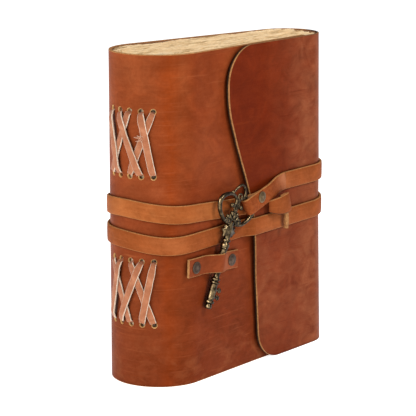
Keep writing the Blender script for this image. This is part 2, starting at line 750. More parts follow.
TAB_RIVET_METAL = metal_material("brown_rivet", (0.04, 0.020, 0.008), (0.105, 0.062, 0.028),
                                 (0.215, 0.145, 0.078), 0.4)


# Hide: one sheet of leather, from the front cover's free edge, round the spine and the fore edge, to the flap


def hide_at(s):
    """Point at height 0 and way out of the hide, at a length from the spine's middle towards the front."""
    if s >= FRONT_START:
        return front_point(s - FRONT_START, 0, 0), OUT_FRONT
    if s >= -FRONT_START:
        angle = degrees(s / SPINE_RADIUS)
        return spine_point(angle, 0, 0), spine_out(angle)
    if s >= -BACK_END:
        return back_point(-s - FRONT_START, 0, 0), OUT_BACK
    if s >= -FLAP_START:
        angle = FOLD_TURN - degrees((-s - BACK_END) / FOLD_OUTER)
        return fore_point(angle, 0, 0), fore_out(angle)
    return front_point(FLAP_RUN - (-s - FLAP_START), 0, FLAP_FACE), OUT_FRONT


def relief(s, z):
    """How far the hide stands out of its true shape: waves, and the sink of the flap's free edge."""
    if s >= -FLAP_START:
        return waves(HIDE_WAVES, s, z)
    along = FLAP_RUN + FLAP_START + s
    sink = SINK * ease((SINK_FROM - along) / SINK_LENGTH)
    return waves(HIDE_WAVES, s, z) - sink * ease((abs(z - SINK_MIDDLE) - SINK_CLEAR) / SINK_EASE)


def fore_lean(x, z):
    """How far the hide's fore edge leans out towards the tail and in towards the head, clear of the strap."""
    nearness = ease((x - LEAN_FROM) / LEAN_LENGTH)
    tail = max(LEAN_MIDDLE - LEAN_REST - z, 0) / (LEAN_MIDDLE - LEAN_REST)
    head = max(z - LEAN_MIDDLE - LEAN_REST, 0) / (HEIGHT - LEAN_MIDDLE - LEAN_REST)
    return nearness * (TAIL_LEAN * tail - HEAD_LEAN * head)


def arc_corner(before, corner, after, radius):
    """Points round a rounded corner between two straight runs."""
    corner = Vector(corner)
    came = (Vector(before) - corner).normalized()
    goes = (Vector(after) - corner).normalized()
    half = came.angle(goes) / 2
    reach = radius / tan(half)
    centre = corner + (came + goes).normalized() * (radius / sin(half))
    start = corner + came * reach - centre
    end = corner + goes * reach - centre
    sweep = start.angle_signed(end)
    count = max(4, ceil(radius * abs(sweep) / CORNER_SPACING))
    first = atan2(start.y, start.x)
    angles = [first - sweep * index / count for index in range(count + 1)]
    return [centre + Vector((cos(angle), sin(angle))) * radius for angle in angles]


def flap_edge():
    """Distance along the front and height of points down the flap's free edge."""
    corners = [(FLAP_RUN, HEIGHT)] + FLAP_EDGE + [(FLAP_RUN, 0)]
    points = []
    for index, radius in enumerate(FLAP_RADII):
        before, corner, after = corners[index:index + 3]
        points += arc_corner(before, corner, after, radius)
    return points


def sheet_from_rows(name, rows, materials, rounding, seams):
    """A sheet of hide from rows of (s, z), with its flesh side and rounded cut edges.

    Seams names the end columns, 0 or -1, where the hide goes on in another piece.
    """
    width = len(rows[0])
    count = width * len(rows)
    outer, inner, uvs = [], [], []
    for row in rows:
        for s, z in row:
            point, out = hide_at(s)
            point = point + ALONG_FRONT * fore_lean(point.x, z)
            lift = relief(s, z)
            outer.append(point + out * lift + UP * z)
            inner.append(point + out * (lift - LEATHER) + UP * z)
            uvs.append((s, z))
    faces, slots = [], []
    for r in range(len(rows) - 1):
        for c in range(width - 1):
            quad = [r * width + c, r * width + c + 1, (r + 1) * width + c + 1, (r + 1) * width + c]
            faces += [quad, [count + corner for corner in reversed(quad)]]
            slots += [GRAIN, INNER]
    top = (len(rows) - 1) * width
    rim = [list(range(width)), [r * width + width - 1 for r in range(len(rows))],
           list(range(top + width - 1, top - 1, -1)), [r * width for r in reversed(range(len(rows)))]]
    for side in rim:
        for here, there in zip(side, side[1:]):
            faces.append([here, there, count + there, count + here])
            slots.append(CUT)
    obj = add_object(name, outer + inner, faces, materials, slots, uvs + uvs)
    joined = set()
    for column in seams:
        outer_seam = [row * width + column % width for row in range(len(rows))]
        joined.update(outer_seam, [count + corner for corner in outer_seam])
    soften_edges(obj, rounding, joined)
    return obj


def soften_edges(obj, width, joined):
    """Rounds the cut edges of a sheet, except between the joined points, where it meets another piece."""
    body = bmesh.new()
    body.from_mesh(obj.data)
    cut = []
    for edge in body.edges:
        slots = {face.material_index for face in edge.link_faces}
        if CUT in slots and len(slots) == 2 and not all(vert.index in joined for vert in edge.verts):
            cut.append(edge)
    bmesh.ops.bevel(body, geom=cut, offset=width * MM, segments=2, affect="EDGES", profile=0.6,
                    material=ROUNDED)
    body.to_mesh(obj.data)
    body.free()
    obj.data.shade_smooth()
    obj.data.set_sharp_from_angle(angle=radians(55))


def even_heights():
    """Heights of the rows of a hide sheet, closer at the head and the tail."""
    inner = steps(ROW_START, HEIGHT - ROW_START, ROW_SPACING)
    return CLOSE_ROWS + inner + [HEIGHT - low for low in reversed(CLOSE_ROWS)]


def cover_front():
    """Spine and front cover in one piece, with the lacing holes cut."""
    spine = steps(-FRONT_START, FRONT_START, SPINE_SPACING)
    cover = steps(0, 1, FRONT_SPACING / FRONT_REACH)[1:]
    rows = []
    for z in even_heights():
        inward = max(COVER_CORNER - min(z, HEIGHT - z), 0)
        reach = FRONT_REACH - COVER_CORNER + sqrt(COVER_CORNER ** 2 - inward ** 2)
        rows.append([(s, z) for s in spine] + [(FRONT_START + share * reach, z) for share in cover])
    materials = [HIDE, RAW_EDGE, FLESH, RAW_EDGE, HOLE_RIM, HOLE_WALL]
    obj = sheet_from_rows("cover_front", rows, materials, COVER_ROUNDING, [0])
    cut_lacing_holes(obj)
    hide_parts("spine", "front_cover")
    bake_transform(obj)


def cut_lacing_holes(obj):
    """Cuts two stations of flared holes through the spine."""
    sides = 20
    flared = HOLE_RADIUS + HOLE_FLARE
    rings = [(-3 * LEATHER, HOLE_RADIUS), (-0.7, HOLE_RADIUS), (0.25, flared), (2.0, flared)]
    verts, faces, slots = [], [], []
    for station in STATIONS.values():
        for z in (station + LACE_SPAN / 2, station - LACE_SPAN / 2):
            for column in range(LACE_COLUMNS):
                angle = LACE_FIRST + column * LACE_PITCH
                round_spine = Vector((sin(radians(angle)), -cos(radians(angle)), 0))
                faces += ring_faces(len(rings), sides, len(verts))
                slots += [WALL] * sides + [RIM] * sides * 2 + [WALL, RIM]
                for off, radius in rings:
                    for turn in turns(sides):
                        aside = round_spine * cos(turn) + UP * sin(turn)
                        verts.append(spine_point(angle, z, off) + aside * radius)
    cutter = add_object("hole_cutter", verts, faces, list(obj.data.materials), slots)
    cut = obj.modifiers.new("holes", "BOOLEAN")
    cut.operation = "DIFFERENCE"
    cut.solver = "EXACT"
    cut.object = cutter
    settle(obj)
    bpy.data.objects.remove(cutter)
    obj.data.set_sharp_from_angle(angle=radians(40))


def settle(obj):
    """Applies an object's modifiers to its mesh."""
    bpy.context.view_layer.update()
    shaped = obj.evaluated_get(bpy.context.evaluated_depsgraph_get())
    mesh = bpy.data.meshes.new_from_object(shaped)
    obj.modifiers.clear()
    obj.data = mesh


def cover_back():
    """Back cover, to the middle of the fore edge."""
    lengths = steps(-FORE_MIDDLE, -BACK_END, FOLD_SPACING) + steps(-BACK_END, -FRONT_START, BACK_SPACING)[1:]
    rows = [[(s, z) for s in lengths] for z in even_heights()]
    obj = sheet_from_rows("cover_back", rows, [HIDE, RAW_EDGE, FLESH, RAW_EDGE], COVER_ROUNDING, [0, -1])
    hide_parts("back_cover", "fore_edge_strip")
    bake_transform(obj)


def cover_flap():
    """Flap, from the middle of the fore edge to its curved free edge."""
    shares = [0, 0.008, 0.02] + steps(0.05, 1.0, 0.052)
    fold = steps(-FLAP_START, -FORE_MIDDLE, FOLD_SPACING)[1:]
    rows = []
    for along, z in reversed(flap_edge_even()):
        row = [(-FLAP_START - (FLAP_RUN - between(share, along, FLAP_RUN)), z) for share in shares]
        rows.append(row + [(s, z) for s in fold])
    obj = sheet_from_rows("flap", rows, [FLAP_HIDE, DARK_EDGE, FLESH, RAW_EDGE], FLAP_ROUNDING, [-1])
    for face in obj.data.polygons:
        if face.material_index == ROUNDED and face.normal.dot(OUT_FRONT) < 0:
            face.material_index = CUT
    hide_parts("flap")
    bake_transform(obj)


def flap_edge_even():
    """The flap's free edge with its long runs divided, as (along, height) points falling in height."""
    corners = flap_edge()
    points = []
    for here, there in zip(corners, corners[1:]):
        count = max(1, ceil((there - here).length / FRONT_SPACING))
        points += [between(index / count, here, there) for index in range(count)]
    points.append(corners[-1])
    return [(point.x, point.y) for point in points]


# Paper


def leaf_path(index, sheet):
    """Plan of a folded sheet, from the fore edge round the fold and back, with its half thickness."""
    inside = SPINE_RADIUS - LEATHER - PAPER_AIR
    pitch = 2 * inside / SIGNATURES
    radius = (pitch - SIGNATURE_GAP) / 2
    fold_y = -inside + pitch * (index + 0.5)
    fold_x = -sqrt((inside - radius) ** 2 - fold_y ** 2)
    half_edge = (inside - PAPER_EDGE * sin(TAPER)) / cos(TAPER)
    edge_pitch = 2 * half_edge / SIGNATURES
    edge_y = -half_edge + edge_pitch * (index + 0.5)
    narrow = (edge_pitch - SIGNATURE_GAP) / 2 / radius
    own = radius * (1 - (sheet + 0.5) / SHEETS)
    aside = max(abs(edge_y + side * own * narrow - FOLD_CENTRE.y) for side in (-1, 1))
    room = FOLD_OUTER - LEATHER - PAPER_AIR
    limit = BEND_SPACING + sqrt(max(room ** 2 - aside ** 2, 0)) - LEAF_CLEAR
    reach = max(PAPER_EDGE, min(PAPER_EDGE + LEAF_SPARE, limit))
    reach += LEAF_UNEVEN * wobble(index * 3.1, sheet * 1.7, 9.0)
    leaf = []
    for x in steps(reach, fold_x, 3.0):
        share = (x - fold_x) / (PAPER_EDGE - fold_x)
        leaf.append((x, between(share, fold_y, edge_y), -own * between(share, 1, narrow)))
    turn = []
    for angle in steps(-90, 90, 180 / max(4, ceil(own * 2)))[1:-1]:
        x, y = fold_x - own * cos(radians(angle)), fold_y + own * sin(radians(angle))
        if index > 1:
            x = min(x, -sqrt(max((inside - radius + own) ** 2 - y ** 2, 0)))
        turn.append(Vector((x, y)))
    plan = [Vector((x, y + side)) for x, y, side in leaf] + turn
    plan += [Vector((x, y - side)) for x, y, side in reversed(leaf)]
    return plan, radius / SHEETS * LEAF_FILL


def torn_edge(x, y):
    """How far the leaves' torn upper edges stand up at a place: slow and quick waves, and a few deep dips."""
    return waves(TORN_WAVES, x, y) - DIP_DEPTH * max(0, waves(DIP_WAVES, x, y) - DIP_FROM)


def signature_leaves(index):
    """One signature of nested folded sheets with torn upper and lower edges."""
    verts, faces, slots, uvs = [], [], [], []
    edge_or_page = [0, 1, 0, 0, 0, 1, 0, 0]
    for sheet in range(SHEETS):
        plan, half = leaf_path(index, sheet)
        seed = index * 11.3 + sheet * 2.9
        faces += ring_faces(len(plan), len(edge_or_page), len(verts))
        slots += edge_or_page * (len(plan) - 1) + [0, 0]
        for step, (point, way) in enumerate(zip(plan, ways(plan))):
            side = Vector((way.y, -way.x)) * half * (0.9 + 0.25 * wobble(step * 0.7, seed, 3.0))
            for flank in (-1, 1):
                torn = torn_edge(*point) + 0.45 * wobble(step * 0.9, seed + flank * 4.0, 7.0)
                edge = point + side * flank
                thin = point + side * flank * LEAF_THIN
                foot = PAPER_FOOT - TORN_FOOT * torn
                head = PAPER_HEAD + torn
                column = [(*thin, foot), (*edge, foot + 1.2), (*edge, head - 1.3), (*thin, head - 0.2)]
                verts += [Vector(corner) for corner in column[::-flank]]
                uvs += [(point.x, point.y + 0.3 * flank)] * len(column)
    obj = add_object(f"leaves_{index + 1}", verts, faces, [PAPER, PAGE], slots, uvs, sharp=35)
    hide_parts(f"signature_{index + 1}")
    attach(obj, "first_signature" if index == 0 else "book")


# Leather bands


def ribbon(name, frames, thick, materials, corner=0.3, crown=0.12, ends=CUT):
    """A band with rounded cut edges through frames of (middle, across, outward, width)."""
    kinds = [CUT, CUT, GRAIN, GRAIN, GRAIN, CUT, CUT, CUT, INNER, CUT]
    high = thick / 2
    verts, uvs = [], []
    length = 0.0
    for step, (middle, across, outward, width) in enumerate(frames):
        if step:
            length += (middle - frames[step - 1][0]).length
        half = width / 2
        flat = half - corner
        raised = half * 0.45
        section = [(-half, corner - high), (-half, high - corner), (-flat, high), (-raised, high + crown),
                   (raised, high + crown), (flat, high), (half, high - corner), (half, corner - high),
                   (flat, -high), (-flat, -high)]
        for a, b in section:
            verts.append(middle + across * a + outward * b)
            uvs.append((length, a + (3 * width if b < 0 else 0)))
    faces = ring_faces(len(frames), len(kinds))
    slots = kinds * (len(frames) - 1) + [ends, ends]
    return add_object(name, verts, faces, materials, slots, uvs, sharp=60)


def lace_frames(top, bottom, station, over):
    """Frames of one lace, from inside an upper hole to inside a lower one."""
    start = LACE_FIRST + top * LACE_PITCH
    end = LACE_FIRST + bottom * LACE_PITCH
    arc = radians(end - start) * SPINE_RADIUS
    length = hypot(arc, LACE_SPAN)
    frames = []
    dive = [0.008, 0.01, 0.016, 0.024, 0.034, 0.05, 0.07, 0.1]
    for share in dive + steps(0.13, 0.87, 0.05) + [1 - near for near in reversed(dive)]:
        angle = between(share, start, end)
        edge = min(share, 1 - share)
        inside = 1 - ease((edge - 0.008) / 0.03)
        nearness = ease((edge - 0.02) / 0.12)
        lift = LAY + nearness * over * (LACE_THICK + LACE_OVER) + LACE_THICK / 2 - inside * LACE_DIVE
        jitter = LACE_JITTER * wobble(share * 6, top * 3 + bottom, station)
        width = between(nearness, LACE_END_WIDTH, LACE_WIDTH) * (1 + jitter)
        round_spine = Vector((-sin(radians(angle)), cos(radians(angle)), 0))
        across = round_spine * (-LACE_SPAN / length) + UP * (arc / length)
        roll = LACE_ROLL * wobble(share * 3, bottom * 2 + 7, station + over)
        outward = (spine_out(angle) + across * roll).normalized()
        across = (across - outward * across.dot(outward)).normalized()
        z = station + LACE_SPAN * (0.5 - share)
        frames.append((spine_point(angle, z, lift), across, outward, width))
    return frames


def lacing(name):
    """Five crossed laces of a station. The lower station is the upper one turned upside down."""
    for number, (top, bottom, over) in enumerate(LACES):
        if name == "lower":
            top, bottom = bottom, top
        frames = lace_frames(top, bottom, STATIONS[name], over)
        obj = ribbon(f"{name}_lace_{number + 1}", frames, LACE_THICK, [SUEDE, LACE_EDGE, SUEDE], 0.2, 0.08)
        if number == 0:
            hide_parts(f"{name}_lacing")
        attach(obj, "book")


def lace_fray():
    """Loose fibres on the upper lacing, where its last two laces cross."""
    for number, (tilt, length, z) in enumerate(FRAY):
        frames = []
        for share in steps(0, 1, 0.25):
            angle = FRAY_ANGLE - share * degrees(length / SPINE_RADIUS)
            lift = LAY + 2 * LACE_THICK + FRAY_LIFT + FRAY_ARCH * sin(pi * share)
            middle = spine_point(angle, z + share * length * sin(radians(tilt)), lift)
            frames.append((middle, UP, spine_out(angle), between(share, *FRAY_WIDTHS)))
        obj = ribbon(f"lace_fibre_{number + 1}", frames, FRAY_THICK, [SUEDE, LACE_EDGE, SUEDE], 0.1, 0.05)
        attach(obj, "book")


def strap_on_spine(stops, lift):
    """Frames of the strap round the spine, from front to back, lifted where it crosses itself."""
    frames = []
    for angle in steps(TURN_END, -TURN_END, SPINE_TURNS):
        stop = min(max(angle, stops[-1][0]), stops[0][0])
        off = ON_COVER + lift * ease((-angle - TURN_END / 2) / (TURN_END / 2))
        frames.append((spine_point(angle, through(stops, stop), off), UP, spine_out(angle), STRAP_WIDTH))
    return frames


def strap_on_fore(heights, start, end):
    """Frames of the strap round a stretch of the fore edge."""
    frames = []
    for angle in steps(start, end, FORE_TURNS):
        share = (FOLD_TURN - angle) / (2 * FOLD_TURN)
        z = between(share, *heights)
        frames.append((fore_point(angle, z, ON_COVER), UP, fore_out(angle), STRAP_WIDTH))
    return frames


def strap_on_back(start_z, end_z, lift):
    """Frames of the strap over the back, from the spine to the fore edge."""
    frames = []
    for share in steps(0, 1, 0.05):
        off = ON_COVER + lift * ease((1 - share) / 0.2)
        middle = back_point(BACK_RUN * share, between(share, start_z, end_z), off)
        frames.append((middle, UP, OUT_BACK, STRAP_WIDTH))
    return frames


def on_front(along, z, off):
    """A frame of the strap, level on the front."""
    return front_point(along, z, off), UP, OUT_FRONT, STRAP_WIDTH


def low_front(along):
    """Height of the strap's second lap on the front."""
    return between(along / FLAP_RUN, LOW_FRONT, LOW_FORE[1])


def strap():
    """The strap, twice round the book, in pieces that part where the book opens."""
    over_first = STRAP_THICK + CROSSING_GAP
    start, start_height = STRAP_START
    first = []
    for along in steps(start, 0, STRAP_SPACING):
        first.append(on_front(along, between(1 - along / start, start_height, FIRST_LAP[0][1]), ON_COVER))
    first += strap_on_spine(FIRST_LAP, 0)[1:]
    low_back = strap_on_back(FIRST_LAP[-1][1], LOW_FORE[0], 0) + strap_on_fore(LOW_FORE, FOLD_TURN, 0)[1:]
    low_flap = strap_on_fore(LOW_FORE, 0, -FOLD_TURN)
    for along in steps(FLAP_RUN, STEP_AT, STRAP_SPACING)[1:]:
        low_flap.append(on_front(along, low_front(along), ON_FLAP))
    second = []
    step_end = STEP_AT - STEP_LENGTH
    for along in steps(STEP_AT, step_end, STEP_SPACING) + steps(step_end, 0, STRAP_SPACING)[1:]:
        drop = ease((STEP_AT - along) / STEP_LENGTH)
        second.append(on_front(along, low_front(along), between(drop, ON_FLAP, ON_COVER)))
    second += strap_on_spine(SECOND_LAP, over_first)[1:]
    high_back = strap_on_back(SECOND_LAP[-1][1], HIGH_FORE[0], over_first)
    high_back += strap_on_fore(HIGH_FORE, FOLD_TURN, 0)[1:]
    high_flap = strap_on_fore(HIGH_FORE, 0, -FOLD_TURN)
    end, end_height, _ = END_ROUTE[0]
    for along in steps(FLAP_RUN, end, STRAP_SPACING)[1:]:
        z = between((FLAP_RUN - along) / (FLAP_RUN - end), HIGH_FORE[1], end_height)
        high_flap.append(on_front(along, z, ON_FLAP))
    pieces = [("strap_first", first, COVER_FOLD), ("strap_low_back", low_back, BACK_FOLD),
              ("strap_low_flap", low_flap, FLAP_FOLD), ("strap_second", second, COVER_FOLD),
              ("strap_high_back", high_back, BACK_FOLD), ("strap_high_flap", high_flap, FLAP_FOLD)]
    for name, frames, fold in pieces:
        grain_side = FIRST_STRAP_HIDE if name == "strap_first" else STRAP_HIDE
        obj = ribbon(name, frames, STRAP_THICK, [grain_side, STRAP_EDGE, FLESH])
        if name == "strap_first":
            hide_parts("strap")
        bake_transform(obj)
    strap_end()


def strap_end():
    """The strap's end: turned to the key and folded round its bow."""
    heights = [(along, z) for along, z, _ in END_ROUTE]
    offs = [(along, off) for along, _, off in END_ROUTE]
    start, end = END_ROUTE[0][0], END_ROUTE[-1][0]
    frames = []
    for along in steps(start, end, END_SPACING):
        before, after = min(along + SLOPE_STEP, start), max(along - SLOPE_STEP, end)
        slope = (through(heights, before) - through(heights, after)) / (before - after)
        way = (ALONG_FRONT + UP * slope).normalized()
        skew = END_SKEW * ease((end + END_SKEW_LENGTH - along) / END_SKEW_LENGTH)
        across = OUT_FRONT.cross(way) - way * skew
        middle = front_point(along, through(heights, along), through(offs, along))
        frames.append((middle, across, OUT_FRONT, STRAP_WIDTH))
    round_bow = FOLD_RADIUS + STRAP_THICK / 2
    centre = middle - OUT_FRONT * round_bow
    aside = across.normalized().cross(OUT_FRONT)
    for angle in steps(90, 270, 15)[1:]:
        outward = aside * cos(radians(angle)) + OUT_FRONT * sin(radians(angle))
        frames.append((centre + outward * round_bow, across, outward, STRAP_WIDTH))
    way = (ALONG_FRONT + UP * FOLD_BACK_SLOPE).normalized()
    below = centre - OUT_FRONT * round_bow
    for distance in steps(END_SPACING, FOLD_BACK, END_SPACING):
        lift = OUT_FRONT * (FOLD_BACK_LIFT * ease((distance - LIFT_FROM) / LIFT_LENGTH))
        straight = OUT_FRONT.cross(way) - way * (END_SKEW * (1 - ease(distance / END_SKEW_LENGTH)))
        width = STRAP_WIDTH - FOLD_BACK_NARROW * ease(distance / NARROW_LENGTH)
        frames.append((below + way * distance + lift, straight, OUT_FRONT * -1, width))
    obj = ribbon("strap_end", frames, STRAP_THICK, [TAB_HIDE, STRAP_EDGE, FLESH])
    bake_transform(obj)


def smooth_frames(frames, parts=4):
    """More frames, on a smooth curve through the ones given."""
    rows = [(*middle, *across, *outward, width) for middle, across, outward, width in frames]
    made = []
    for row in smooth_line(rows, parts):
        middle, across, outward = (Vector(row[first:first + 3]) for first in (0, 3, 6))
        made.append((middle, across.normalized(), outward.normalized(), row[9]))
    return made


def route_on_front(route):
    """The point, the way along and the width at each stop of a route of (along, height, off, width)."""
    points = [front_point(*stop[:3]) for stop in route]
    return zip(points, ways(points), [stop[3] for stop in route])


def strap_knot():
    """The strap's start on the outside of the flap: a folded tab and its short hanging tail."""
    upright = (UP - ALONG_FRONT * KNOT_LEAN).normalized()
    frames = []
    for point, way, width in route_on_front(KNOT):
        outward = way.cross(upright).normalized()
        frames.append((point, outward.cross(way), outward, width))
    materials = [STRAP_HIDE, STRAP_EDGE, FLESH, DARK_EDGE]
    dark = materials.index(DARK_EDGE)
    tab = ribbon("strap_knot", smooth_frames(frames), STRAP_THICK, materials, ends=dark)
    for face in tab.data.polygons:
        if face.normal.dot(UP) < -0.5:
            face.material_index = dark
    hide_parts("strap_knot")
    outward = (OUT_FRONT - ALONG_FRONT * KNOT_TAIL_TURN).normalized()
    tail = []
    for point, way, width in route_on_front(KNOT_TAIL):
        tail.append((point, outward.cross(way).normalized(), outward, width))
    materials = [RAW_EDGE, RAW_EDGE, FLESH]
    hanging = ribbon("strap_knot_tail", smooth_frames(tail), KNOT_TAIL_THICK, materials, 0.5)
    for obj in (tab, hanging):
        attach(obj, "flap")


def keeper_lift(along):
    """Distance from the front cover to the keeper's underside, which climbs over the key and comes down."""
    crossing = (KEEPER_HEIGHT - KEY_TIP[1]) / cos(radians(KEY_SLANT))
    top = KEY_REST + crossing * sin(KEY_LEAN) + SHANK
    climb = ease((along - KEY_CROSSING + KEEPER_CLIMB) / KEEPER_RAMP)
    fall = min(max((along - KEY_CROSSING + KEEPER_FALL) / KEEPER_RAMP, 0.0), 1.0)
    descent = between(KEEPER_SOFT, fall, ease(fall))
    return between(climb * (1 - descent), LAY, top)


def keeper_skew(along):
    """How far the keeper's cross-sections lean with the key under it."""
    past = along - KEY_CROSSING
    begun = ease((past + KEEPER_CLIMB) / KEEPER_LEAN_RISE)
    ended = ease((past - KEEPER_LEAN_PAST) / KEEPER_LEAN_FALL)
    return tan(radians(KEY_SLANT + KEEPER_TILT)) * begun * (1 - ended)


def keeper_rise(along):
    """How far the key drags the middle of the keeper up."""
    rise = ease((along - KEEPER_LEFT) / (KEY_CROSSING - KEEPER_LEFT))
    return KEEPER_DRAG * rise * (1 - ease((along - KEY_CROSSING) / KEEPER_DRAG_FALL))


def keeper():
    """The riveted strip over the key's shank."""
    way = ALONG_FRONT * cos(radians(KEEPER_TILT)) + UP * sin(radians(KEEPER_TILT))
    across = OUT_FRONT.cross(way)
    frames = []
    near = 0.05
    for along in steps(KEEPER_LEFT, KEEPER_RIGHT, KEEPER_SPACING):
        lean = atan2(keeper_lift(along + near) - keeper_lift(along - near), 2 * near)
        outward = OUT_FRONT * cos(lean) - way * sin(lean)
        lift = keeper_lift(along) + KEEPER_THICK / 2 + KEEPER_UNEVEN * (1 + wobble(along / 5, 2.0, 3.3))
        middle = front_point(0, KEEPER_HEIGHT + keeper_rise(along), lift) + way * along
        leaning = across + (way * cos(lean) + OUT_FRONT * sin(lean)) * keeper_skew(along)
        width = KEEPER_WIDTH * (1 + KEEPER_WAVER * wobble(along / 7, 8.0, 1.0))
        frames.append((middle, leaning, outward, width))
    obj = ribbon("keeper", frames, KEEPER_THICK, [KEEPER_HIDE, RAW_EDGE, FLESH])
    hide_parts("keeper")
    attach(obj, "front_cover")


# Key, in its own directions: across to the right, along from its tip, and out

KEY_ACROSS = ALONG_FRONT * cos(radians(KEY_SLANT)) - UP * sin(radians(KEY_SLANT))
KEY_FLAT = ALONG_FRONT * sin(radians(KEY_SLANT)) + UP * cos(radians(KEY_SLANT))
KEY_ALONG = KEY_FLAT * cos(KEY_LEAN) + OUT_FRONT * sin(KEY_LEAN)
KEY_OUT = KEY_ACROSS.cross(KEY_ALONG)
KEY_METAL = metal_material("antique_bronze", (0.004, 0.003, 0.002), (0.038, 0.025, 0.012),
                           (0.27, 0.19, 0.095), 0.27, (0.58, 0.8),
                           OUT_FRONT * 0.5 - ALONG_FRONT * 0.8 + UP * 0.35)


def key_point(across, along, out):
    """A point of the key."""
    return front_point(*KEY_TIP, KEY_REST) + KEY_ACROSS * across + KEY_ALONG * along + KEY_OUT * out


def lathe(profile, sides=28):
    """Points and faces turned round the key's length from (radius, along) points."""
    verts = []
    for radius, along in profile:
        verts += [(radius * cos(turn), along, radius * sin(turn)) for turn in turns(sides)]
    return verts, ring_faces(len(profile), sides)


def tube(stops, sides=12, flat=1.0):
    """Points and faces of a round wire through (across, along, radius) stops in the key's plane."""
    verts = []
    for (across, along, radius), way in zip(stops, ways([Vector(stop[:2]) for stop in stops])):
        for turn in turns(sides):
            reach = radius * cos(turn)
            verts.append((across - way.y * reach, along + way.x * reach, radius * flat * sin(turn)))
    return verts, ring_faces(len(stops), sides)


def wire(stops, sides=12):
    """A tube on a smooth curve through its stops."""
    return tube(smooth_line(stops), sides)


def ball(centre, radius, stretch=(1, 1, 1), turn=0.0, sides=14, rings=9):
    """Points and faces of a ball or a leaf, stretched and turned in the key's plane."""
    verts = []
    for ring in range(rings + 1):
        polar = pi * (ring + 0.02) / (rings + 0.04)
        for around in turns(sides):
            x = radius * stretch[0] * sin(polar) * cos(around)
            y = radius * stretch[1] * cos(polar)
            z = radius * stretch[2] * sin(polar) * sin(around)
            across = centre[0] + x * cos(turn) - y * sin(turn)
            along = centre[1] + x * sin(turn) + y * cos(turn)
            verts.append((across, along, z))
    return verts, ring_faces(rings + 1, sides)


def plate(outline, thick, edge):
    """A cast plate, thick in its middle and thin at its outline."""
    count = len(outline)
    middle = (sum(x for x, _ in outline) / count, sum(y for _, y in outline) / count)
    upper = [(0.0, thick), (0.55, thick * 0.85), (0.88, edge * 1.3)]
    layers = upper + [(1.0, 0.0)] + [(share, -out) for share, out in reversed(upper)]
    verts = []
    for share, out in layers:
        verts += [(between(share, middle[0], x), between(share, middle[1], y), out) for x, y in outline]
    return verts, ring_faces(len(layers), count, capped=False)


def key_stem_parts():
    """The turned stem: tip, collars, barrel, shank, bulb and the leafy star of the neck."""
    tip = [(0.3, 0), (1.3, 0.1), (1.9, 0.6), (2.0, 1.5), (1.75, 2.5), (1.5, 2.9)]
    end_collar = [(2.3, 3.2), (2.5, 3.6), (2.5, 4.3), (2.25, 4.7), (1.7, 4.9), (1.7, 5.3)]
    barrel = [(2.0, 5.6), (2.05, 6.4), (1.95, 9.5), (2.05, 13.4), (1.8, 13.9)]
    collars = [(2.5, 14.2), (2.75, 14.6), (2.7, 15.0), (2.1, 15.3), (1.7, 15.6), (1.75, 16.0),
               (2.5, 16.2), (2.6, 16.6), (2.4, 17.0), (1.8, 17.4)]
    shank = [(1.65, 18.2), (1.7, 24.0), (1.8, 32.8)]
    bulb = [(2.0, 33.3), (2.35, 33.7), (2.1, 34.1), (2.2, 34.5), (2.5, 35.1), (2.5, 35.8), (2.3, 36.5),
            (1.75, 37.0)]
    neck = [(1.75, 37.5), (2.3, 37.8), (2.4, 38.3), (2.2, 38.8), (1.8, 39.2), (1.8, 40.0), (1.9, 44.0),
            (1.6, 48.5)]
    star = [(-3.9, 40.0), (-2.2, 40.6), (0, 39.8), (2.2, 40.6), (3.9, 40.6), (3.7, 41.7), (6.0, 43.6),
            (4.3, 44.4), (4.5, 46.6), (2.6, 46.0), (1.2, 47.4), (-0.4, 46.4), (-2.6, 46.6), (-4.4, 46.0),
            (-4.3, 44.6), (-6.4, 43.7), (-4.2, 41.9)]
    stem = lathe(tip + end_collar + barrel + collars + shank + bulb + neck)
    leaves = [ball((side * 2.0, 43.4), 1.5, (0.6, 1.5, 0.8), side * -0.5) for side in (-1, 1)]
    return [stem, plate(star, 1.7, 0.7), ball((0, 43.6), 1.6, (0.75, 1.6, 1.15))] + leaves


def key_bit_parts():
    """Two round-ended teeth beside the barrel."""
    parts = []
    for along in (6.9, 11.0):
        parts.append(tube([(1.2, along, 0.8), (3.4, along, 0.62), (5.4, along, 0.7)], 8, 1.1))
        parts.append(ball((5.9, along), 1.4, (0.95, 1.0, 0.62)))
        parts.append(ball((5.0, along + 0.95), 0.7, (1, 1, 0.9)))
    parts.append(tube([(2.6, 6.6, 0.55), (2.8, 9.0, 0.5), (2.6, 11.4, 0.55)], 8, 1.2))
    return parts


def mirrored(stops, side):
    """(across, along, radius) stops of the bow as they are, or in its other half where side is -1."""
    return [((1 - side) * BOW_MIDDLE + side * across, along, radius) for across, along, radius in stops]


def crown_leaf(lean, reach, size, stretch):
    """A leaf that leans out from the foot of the bow."""
    centre = (BOW_MIDDLE + reach * sin(radians(lean)), BOW_FOOT + reach * cos(radians(lean)))
    return ball(centre, size, stretch, radians(-lean))


